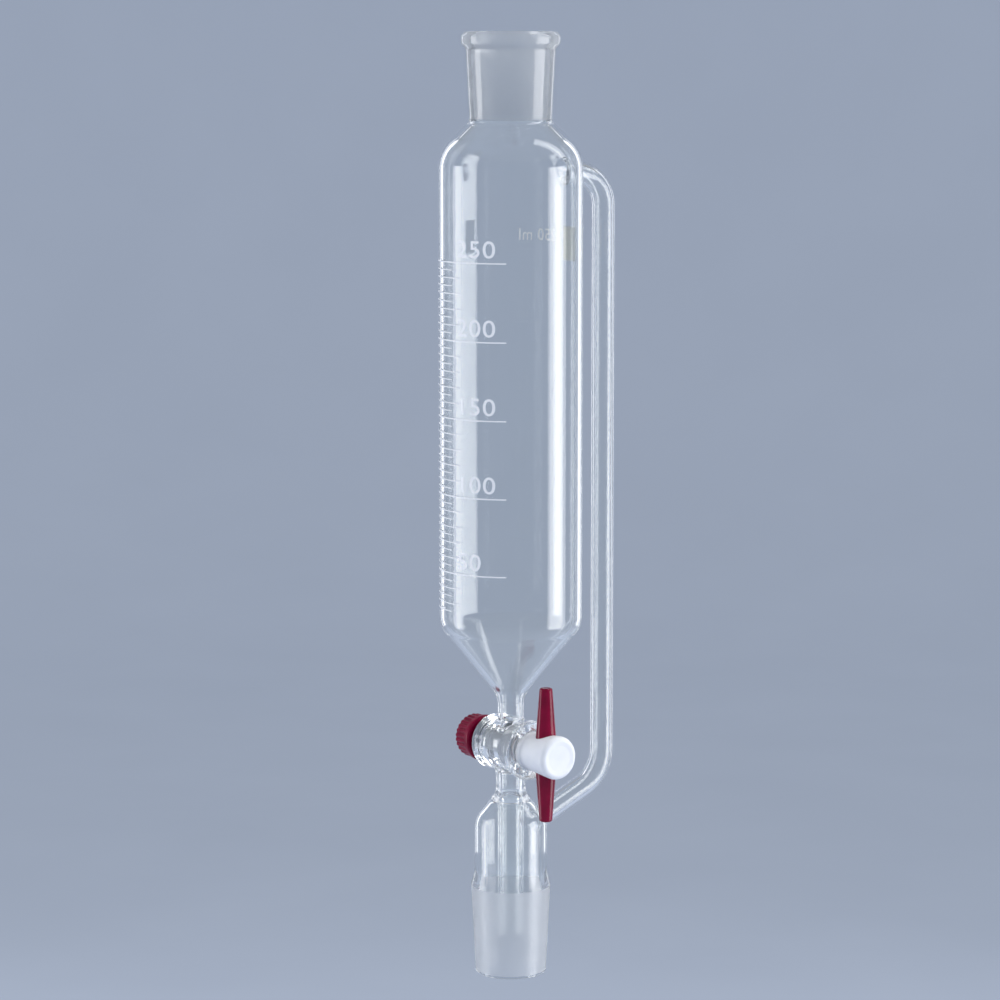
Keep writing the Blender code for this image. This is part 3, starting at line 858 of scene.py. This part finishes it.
def make_plug(material):
    """The PTFE plug: a soft-edged head, a tapered body with sealing grooves, and a threaded tail."""
    soft = 1.9 * MM
    taper_end = BARREL_REAR + 0.3 * MM
    head_r = HEAD_R
    dish = [(0, HEAD_FRONT - 0.25 * MM), (head_r - 3.2 * MM, HEAD_FRONT - 0.2 * MM)]
    head = [*dish, *arc_points((head_r - soft, HEAD_FRONT - soft), soft, 84, 0, 12)]
    profile = [
        *head,
        (6.9 * MM, BARREL_FRONT + 2.2 * MM),
        *arc_points((plug_radius(BARREL_FRONT) - 0.3 * MM, BARREL_FRONT + 0.6 * MM), 0.3 * MM, 60, 0, 4),
        (plug_radius(taper_end + 0.4 * MM), taper_end + 0.4 * MM),
        (plug_radius(taper_end) - 0.4 * MM, taper_end),
        (TAIL_R + 0.05 * MM, taper_end),
        (TAIL_R, taper_end - 0.1 * MM),
        (TAIL_R, TAIL_END + 0.7 * MM),
        (TAIL_R - 0.7 * MM, TAIL_END),
        (0, TAIL_END),
    ]
    grooves = [-3.4 * MM, -5.6 * MM, -7.8 * MM, 4.6 * MM, 10.4 * MM]

    def worked(radius, station, angle):
        if station < taper_end:
            if radius > TAIL_R - 0.01 * MM:
                depth = thread_depth(station, angle, taper_end - 1 * MM, TAIL_END + 0.4 * MM)
                return radius - 0.55 * MM * depth
            return radius
        depth = sum(math.exp(-(((station - g) / (0.42 * MM)) ** 2)) for g in grooves)
        return radius - 0.3 * MM * depth

    ob = turned("ptfe_plug", fine(profile, 0.25 * MM), material, 128, worked, closed=False)
    bore_r, reach = 2 * MM, 12 * MM
    bore = upright("bore_cutter", [(0, reach), (bore_r, reach), (bore_r, -reach), (0, -reach)], material, 0)
    slot = upright("slot_cutter", lever_profile(0.08 * MM), material, LEVER_STATION)
    return cut_away(ob, bore, slot)


def make_lever(material):
    """The lever: a round bar, thickest in the head, that thins towards both rounded tips."""
    return upright("red_lever", fine(lever_profile(), 0.8 * MM), material, LEVER_STATION, 72)


def make_washer(material):
    low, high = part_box("sealing_washer")
    front, rear, outer, inner = -low.y, -high.y, high.x, TAIL_R + 0.2 * MM
    soft = 0.25 * MM
    profile = [
        *arc_points((outer - soft, front - soft), soft, 90, 0, 4),
        *arc_points((outer - soft, rear + soft), soft, 0, -90, 4),
        *arc_points((inner + soft, rear + soft), soft, -90, -180, 4),
        *arc_points((inner + soft, front - soft), soft, 180, 90, 4),
    ]
    return turned("ptfe_washer", profile, material, 96)


def make_ring(material):
    low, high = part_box("o_ring")
    minor = (high.y - low.y) / 2
    centre = (high.x - minor, -(low.y + high.y) / 2)
    return turned("rubber_ring", arc_points(centre, minor, 0, 360, 28)[:-1], material, 96)


def make_nut(material):
    """The retaining nut: a smooth collar, a grip with rounded ribs, and a thread inside."""
    low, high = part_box("retaining_nut")
    front, end, collar_r = -low.y, -high.y, high.x
    collar_end = front - 2.4 * MM
    grip_r, bore_r, ribs, soft = 8.1 * MM, TAIL_R + 0.12 * MM, 26, 0.8 * MM
    profile = [
        *arc_points((collar_r - 0.7 * MM, front - 0.7 * MM), 0.7 * MM, 90, 0, 6),
        *arc_points((collar_r - 0.4 * MM, collar_end + 0.4 * MM), 0.4 * MM, 0, -70, 4),
        (grip_r, collar_end - 0.1 * MM),
        *arc_points((grip_r - soft, end + soft), soft, 0, -90, 8),
        (bore_r + 1.3 * MM, end),
        (bore_r + 1.1 * MM, end + 0.4 * MM),
        (bore_r + 0.6 * MM, end + 0.4 * MM),
        (bore_r, end + 0.9 * MM),
        (bore_r, front - 0.6 * MM),
        (bore_r + 0.6 * MM, front),
    ]

    def ribbed(radius, station, angle):
        if radius < bore_r + 0.05 * MM:
            return radius + 0.45 * MM * (1 - thread_depth(station, angle, front, end + 0.6 * MM))
        on_grip = min(1, max(0, (collar_end - 0.1 * MM - station) / (0.5 * MM)))
        rim = min(1, max(0, (radius - (grip_r - soft)) / soft))
        rib = abs(math.sin(ribs * angle / 2)) ** 0.8
        return radius - 0.55 * MM * (1 - rib) * on_grip * rim

    closed_profile = fine(profile + profile[:1], 0.3 * MM)[:-1]
    return turned("red_nut", closed_profile, material, ribs * 12, ribbed)


# ---------------------------------------------------------------- enamel on the cylinder

CAMERA_TURN = math.radians(-36)
FACING = CAMERA_TURN - math.pi / 2  # the angle round the glass that faces the camera
ENAMEL_LOW, ENAMEL_HIGH = BODY_R + 0.01 * MM, BODY_R + 0.05 * MM
MARK_50_Z = 117.9 * MM
MM_PER_ML = 0.5585 * MM
FIGURE_SPACING = 1.07
FIGURE_SIZE = 8.6 * MM
FIGURE_RISE = 1.95 * MM  # from the middle of a line to the foot of its figure
CAPACITY_SIZE = 6.2 * MM
FIRST_VOLUME, LAST_VOLUME, FIGURE_STEP = 25, 250, 50


def wrapped_patch(bm, start, end, low, high):
    """A thin closed patch of enamel on the cylinder, from one angle and height to another."""
    steps = max(1, round(abs(end - start) / math.radians(2)))
    rows = []
    for i in range(steps + 1):
        a = start + (end - start) * i / steps
        rows.append(
            [
                bm.verts.new((r * math.cos(a), r * math.sin(a), z))
                for r, z in ((ENAMEL_LOW, low), (ENAMEL_HIGH, low), (ENAMEL_HIGH, high), (ENAMEL_LOW, high))
            ]
        )
    for a, b in zip(rows, rows[1:]):
        for i in range(4):
            j = (i + 1) % 4
            bm.faces.new((a[i], b[i], b[j], a[j]))
    bm.faces.new(rows[0][::-1])
    bm.faces.new(rows[-1])


def wrapped_text(bm, text, size, start_angle, low, weight, widening):
    """Figures bent round the cylinder from start_angle, standing on height low. They are `widening` times as
    wide as the font draws them."""
    curve = bpy.data.curves.new("figures", "FONT")
    curve.body = text
    curve.size = size
    curve.offset = weight
    curve.extrude = (ENAMEL_HIGH - ENAMEL_LOW) / 2
    curve.space_character = FIGURE_SPACING
    ob = link(bpy.data.objects.new("figures", curve))
    evaluated = ob.evaluated_get(bpy.context.evaluated_depsgraph_get())
    flat = bpy.data.meshes.new_from_object(evaluated)
    bpy.data.objects.remove(ob)
    part = bmesh.new()
    part.from_mesh(flat)
    bpy.data.meshes.remove(flat)
    bmesh.ops.remove_doubles(part, verts=part.verts, dist=1e-6)
    for v in part.verts:
        v.co.x *= widening
    right = max(v.co.x for v in part.verts)
    step = 0.7 * MM
    for i in range(1, int(right / step) + 1):
        everything = part.verts[:] + part.edges[:] + part.faces[:]
        bmesh.ops.bisect_plane(part, geom=everything, plane_co=(i * step, 0, 0), plane_no=(1, 0, 0))
    middle = (ENAMEL_LOW + ENAMEL_HIGH) / 2
    for v in part.verts:
        a = start_angle + v.co.x / BODY_R
        r = middle + v.co.z
        v.co = (r * math.cos(a), r * math.sin(a), low + v.co.y)
    piece = bpy.data.meshes.new("figures")
    part.to_mesh(piece)
    part.free()
    bm.from_mesh(piece)
    bpy.data.meshes.remove(piece)


def enamel_piece(name, bm, material):
    bmesh.ops.recalc_face_normals(bm, faces=bm.faces)
    mesh = bpy.data.meshes.new(name)
    bm.to_mesh(mesh)
    bm.free()
    mesh.materials.append(material)
    return link(bpy.data.objects.new(name, mesh))


def make_graduation(material):
    """A line every 5 ml from 25 to 250, longer at each 10 and long with a figure at each 50."""
    bm = bmesh.new()
    start = FACING + math.radians(-95)
    ends = {5: FACING + math.radians(-54), 10: FACING + math.radians(-44), 50: FACING + math.radians(-3.5)}
    figures_start = FACING + math.radians(-47.3)
    for volume in range(FIRST_VOLUME, LAST_VOLUME + 1, min(ends)):
        z = MARK_50_Z + (volume - 50) * MM_PER_ML
        step = max(s for s in ends if volume % s == 0)
        half = 0.23 * MM if step == FIGURE_STEP else 0.18 * MM
        wrapped_patch(bm, start, ends[step], z - half, z + half)
        if step == FIGURE_STEP:
            wrapped_text(bm, str(volume), FIGURE_SIZE, figures_start, z + FIGURE_RISE, 0.035 * MM, 1.2)
    return enamel_piece("graduation", bm, material)


def make_capacity_mark(material):
    bm = bmesh.new()
    start = FACING + math.radians(136.6)
    wrapped_text(bm, "250 ml", CAPACITY_SIZE, start, 235.5 * MM, 0.04 * MM, 0.92)
    return enamel_piece("capacity_mark", bm, material)


def make_writing_patch(material):
    bm = bmesh.new()
    start, end = FACING + math.radians(97), FACING + math.radians(127)
    wrapped_patch(bm, start, end, 228.7 * MM, 241 * MM)
    return enamel_piece("writing_patch", bm, material)


# ---------------------------------------------------------------- stage


HANGING_HEIGHT = 0.33  # the funnel hangs this far above the floor
GLASS_BOUNCES = 128  # light runs far along the glass walls, and a path cut short shows as a black spot


def make_stage(material):
    """A pale round floor that curves up into a wall on every side."""
    floor_z = CONE_END_Z - HANGING_HEIGHT
    floor_r, bend, wall = 2.4, 0.9, 2.2
    profile = [(0.6, 0.0), (floor_r, 0.0)]
    profile += arc_points((floor_r, bend), bend, -90, 0, 12)[1:]
    profile.append((floor_r + bend, wall))
    bm = bmesh.new()
    rows = [
        [bm.verts.new((r * math.cos(a), r * math.sin(a), floor_z + z)) for a in np.radians(range(0, 360, 5))]
        for r, z in profile
    ]
    bm.faces.new(rows[0])
    for a, b in zip(rows, rows[1:]):
        for i in range(len(a)):
            j = (i + 1) % len(a)
            bm.faces.new((a[i], b[i], b[j], a[j]))
    mesh = bpy.data.meshes.new("floor")
    bm.to_mesh(mesh)
    bm.free()
    mesh.materials.append(material)
    mesh.shade_smooth()
    link(bpy.data.objects.new("floor", mesh))


def hide_straight_through(light):
    """Keeps a light out of sight where it would be seen straight through the glass, as it is out of sight
    beside the glass. Its reflections stay, on the glass and inside it."""
    light.use_nodes = True
    tree = light.node_tree
    path = tree.nodes.new("ShaderNodeLightPath")

    def math_node(operation, *values):
        node = add_node(tree, "ShaderNodeMath", operation=operation)
        for socket, value in zip(node.inputs, values):
            if isinstance(value, float):
                socket.default_value = value
            else:
                tree.links.new(value, socket)
        return node.outputs["Value"]

    reflections = math_node("ADD", path.outputs["Glossy Depth"], path.outputs["Diffuse Depth"])
    unreflected = math_node("LESS_THAN", reflections, 0.5)
    refracted = math_node("GREATER_THAN", path.outputs["Transmission Depth"], 0.5)
    straight = math_node("MULTIPLY", unreflected, refracted)
    emission = tree.nodes["Emission"]
    tree.links.new(math_node("SUBTRACT", 1.0, straight), emission.inputs["Strength"])


def softbox(name, turn, distance, size, middle_z, radiance, aim_z=None, mirrored=True):
    """An area light turned from the camera's side round the glass, positive to the right. It faces the
    glass's axis level with its own middle, or at the height aim_z. One that isn't mirrored doesn't show in
    the glass."""
    width, height = size
    light = bpy.data.lights.new(name, "AREA")
    light.shape = "RECTANGLE"
    light.size, light.size_y = width, height
    light.energy = radiance * math.pi * width * height
    ob = link(bpy.data.objects.new(name, light))
    a = FACING + math.radians(turn)
    ob.location = (distance * math.cos(a), distance * math.sin(a), middle_z)
    tilt = 0 if aim_z is None else math.atan2(middle_z - aim_z, distance)
    ob.rotation_euler = (math.pi / 2 - tilt, 0, a + math.pi / 2)
    ob.visible_camera = False
    ob.visible_glossy = mirrored
    ob.visible_transmission = mirrored
    if mirrored:
        hide_straight_through(light)
    return ob


def make_lights():
    """Two upright softboxes beside the glass, two thin ones behind it for its edges, one above for its
    shoulder, and two that only fill in, from the front and from behind."""
    softbox("right_softbox", 81, 0.80, (0.475, 0.66), 0.03, 4.8)
    softbox("left_softbox", -94.5, 0.85, (0.285, 0.66), 0.03, 4.4)
    softbox("right_edge", 150, 1.3, (0.20, 1.2), 0.30, 1.3)
    softbox("left_edge", -150, 1.3, (0.20, 1.2), 0.30, 1.3)
    softbox("shoulder_softbox", 100, 0.68, (0.18, 0.80), 0.92, 5.0, 0.26)
    softbox("front_fill", -12, 1.2, (1.2, 0.8), 1.15, 3.3, 0.1, mirrored=False)
    softbox("back_fill", 165, 0.6, (0.6, 0.4), 0.70, 4.5, 0.2, mirrored=False)
    world = bpy.data.worlds.new("studio")
    world.use_nodes = True
    world.node_tree.nodes["Background"].inputs["Color"].default_value = (0.80, 0.86, 0.95, 1)
    world.node_tree.nodes["Background"].inputs["Strength"].default_value = 0.42
    bpy.context.scene.world = world


def make_camera():
    distance, height, tilt = 1.2, 0.3004, math.radians(82.5)
    camera = bpy.data.cameras.new("camera")
    camera.lens = 120
    camera.sensor_width = 36
    camera.shift_x = -0.01075
    camera.clip_start = 0.05
    ob = link(bpy.data.objects.new("camera", camera))
    ob.location = (distance * math.cos(FACING), distance * math.sin(FACING), height)
    ob.rotation_euler = (tilt, 0, CAMERA_TURN)
    bpy.context.scene.camera = ob


def main():
    clear, ground, white, red, black = clear_glass(), ground_glass(), ptfe(), red_plastic(), black_rubber()
    white_enamel = enamel("white_enamel", (0.88, 0.90, 0.94), (0.96, 0.97, 0.99), 0.45, 0.1)
    thin_enamel = enamel("thin_enamel", (0.88, 0.90, 0.94), (0.96, 0.97, 0.99), 0.45, 1.0)
    cream_enamel = enamel("cream_enamel", (0.80, 0.77, 0.60), (0.90, 0.87, 0.72), 0.6, 1.0)

    glass = make_glass(clear, ground)
    glass_nodes = frame["record"]["behaviour"]["bodies"]["glass"]
    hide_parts(*glass_nodes)
    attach(glass, "glass")

    for made, body, node, slot in (
        (make_plug(white), "plug", "stopcock_plug", "ptfe"),
        (make_lever(red), "plug", "lever_handle", "red_plastic"),
        (make_washer(white), "seals", "sealing_washer", "ptfe"),
        (make_ring(black), "seals", "o_ring", "rubber"),
        (make_nut(red), "nut", "retaining_nut", "red_plastic"),
    ):
        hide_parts(node)
        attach(made, body)

    marks = make_graduation(white_enamel), make_capacity_mark(thin_enamel), make_writing_patch(cream_enamel)
    for mark in marks:
        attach(mark, "glass")

    make_stage(backdrop_paper())
    make_lights()
    make_camera()
    scene = bpy.context.scene
    scene.view_settings.view_transform = "Standard"
    scene.cycles.max_bounces = GLASS_BOUNCES
    scene.cycles.transmission_bounces = GLASS_BOUNCES
    scene.cycles.glossy_bounces = GLASS_BOUNCES


main()
